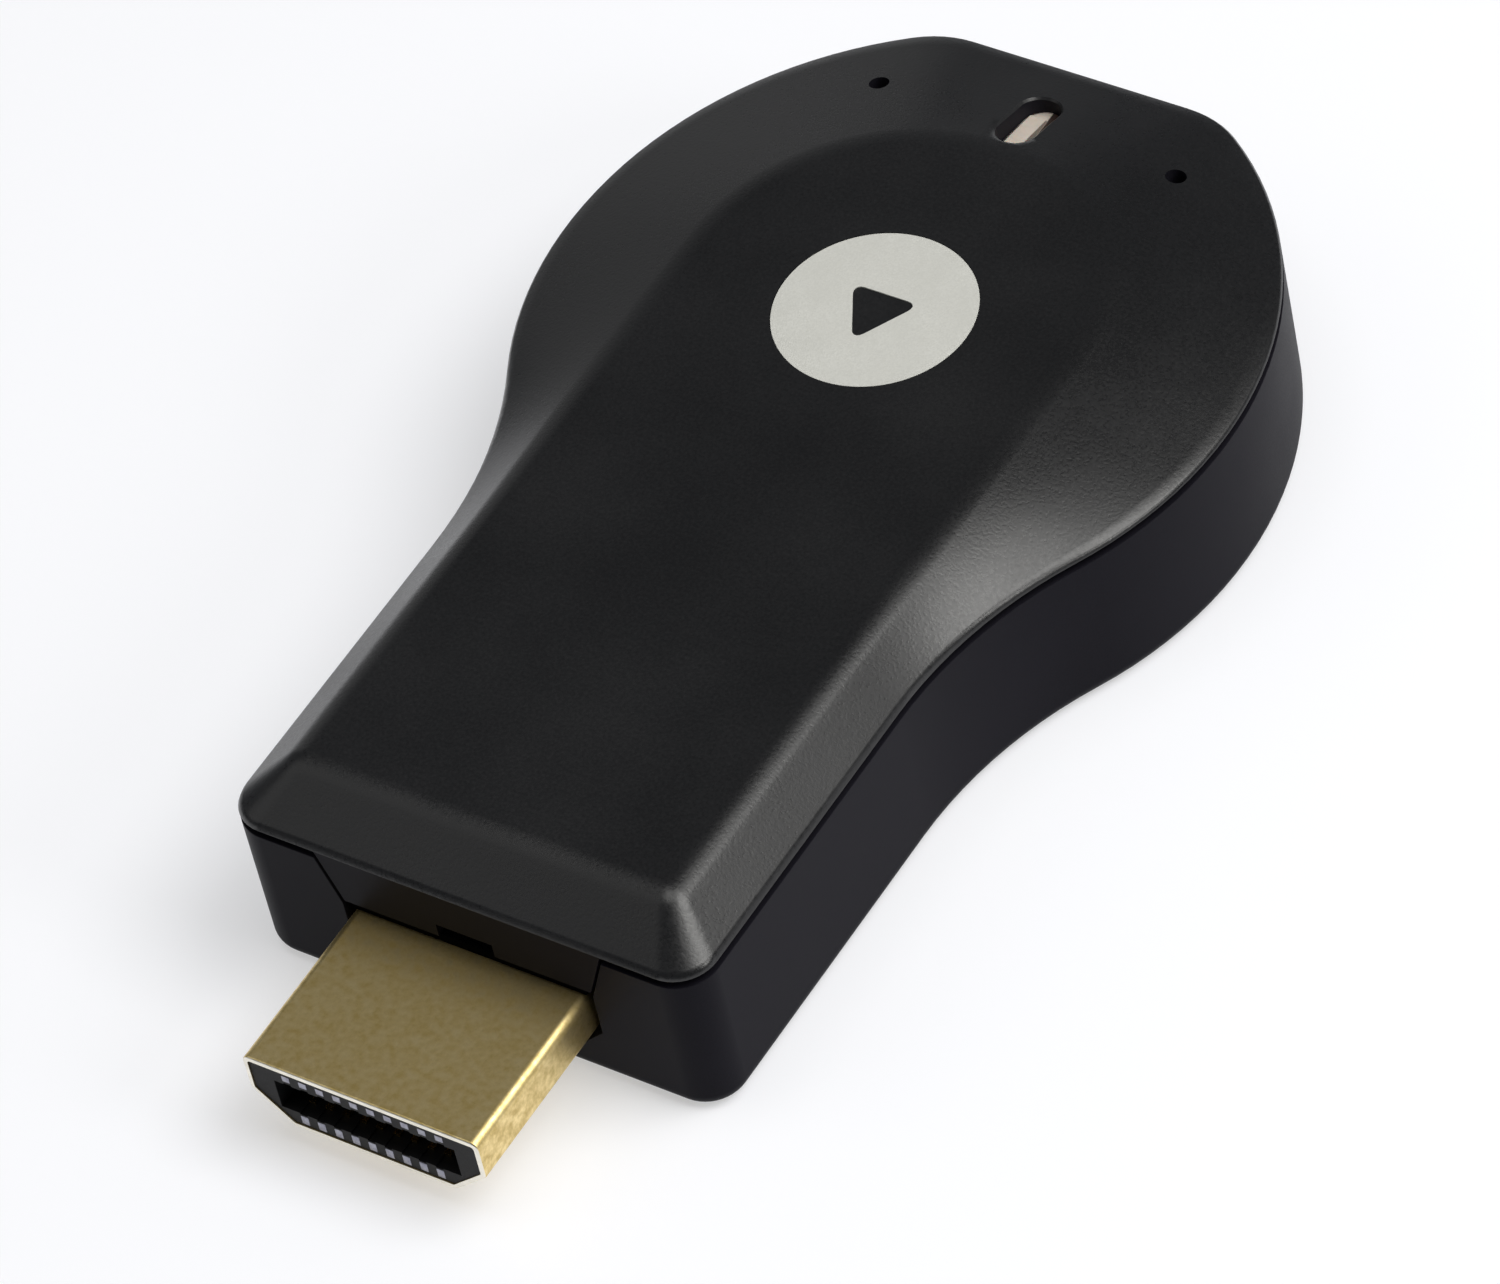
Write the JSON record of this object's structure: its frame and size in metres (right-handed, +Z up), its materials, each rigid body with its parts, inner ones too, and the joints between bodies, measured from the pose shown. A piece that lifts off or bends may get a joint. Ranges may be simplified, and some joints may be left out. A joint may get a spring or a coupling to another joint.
{
  "type": "streaming stick",
  "caption": "Keyhole-shaped plastic media stick: a display plug at the narrow front, a power socket in the round tail, a side button and a recessed indicator window.",
  "frame": {"origin": "middle of the overall box, on the underside, plug included", "axes": "+Y from the plug towards the round tail, +X to the right seen from above with the tail up, +Z up through the raised panel"},
  "size_m": [0.0392, 0.0714, 0.0123],
  "materials": {
    "case_black": "fine spark-eroded texture, black ABS",
    "button_black": "satin black ABS",
    "gold_plating": "satin gold flash on stamped steel",
    "core_black": "moulded glass-filled nylon",
    "contact_gold": "selective gold plating on phosphor bronze",
    "board_green": "solder mask on glass-epoxy laminate",
    "chip_black": "moulded epoxy",
    "tin_metal": "tin-plated sheet",
    "pad_grey": "silicone thermal pad",
    "spreader_metal": "rolled plate",
    "ferrite_grey": "pressed ferrite",
    "tantalum_yellow": "moulded epoxy",
    "ceramic_tan": "fired ceramic",
    "aerial_white": "fired ceramic",
    "pipe_milky": "milky polycarbonate",
    "led_resin": "clear resin over phosphor",
    "plunger_white": "acetal",
    "spring_steel": "stainless spring strip"
  },
  "bodies": {
    "case": {"top_shell": "case_black", "bottom_shell": "case_black", "light_pipe": "pipe_milky", "main_board": "board_green", "plug_shell": "gold_plating", "plug_insulator": "core_black", "plug_contacts_upper": "contact_gold", "plug_contacts_lower": "contact_gold", "processor": "chip_black", "memory_chip": "chip_black", "radio_chip": "chip_black", "flash_chip": "chip_black", "voltage_regulators": "chip_black", "flash_chip_leads": "tin_metal", "shield_can": "tin_metal", "clock_crystal": "tin_metal", "radio_crystal": "tin_metal", "chip_aerial": "aerial_white", "thermal_pad": "pad_grey", "heat_spreader": "spreader_metal", "power_inductors": "ferrite_grey", "tantalum_capacitors": "tantalum_yellow", "ceramic_capacitors": "ceramic_tan", "chip_resistors": "ferrite_grey", "indicator_led": "led_resin", "usb_socket_shell": "tin_metal", "usb_socket_tongue": "core_black", "usb_socket_contacts": "contact_gold", "switch_body": "core_black", "switch_cover": "tin_metal", "switch_dome": "spring_steel"},
    "button": {"reset_button": "button_black"},
    "plunger": {"switch_plunger": "plunger_white"}
  },
  "joints": [
    {"name": "reset_press", "type": "slide", "parent": "case", "child": "button", "axis": [1, 0, 0], "range_m": [0, 0.00025], "stiffness_N_per_m": 4000},
    {"name": "plunger_press", "type": "slide", "parent": "case", "child": "plunger", "axis": [1, 0, 0], "range_m": [0, 0.00025], "deforming": ["switch_dome"]}
  ],
  "couplings": [
    {"joint": "plunger_press", "follows": "reset_press", "ratio": 1}
  ]
}
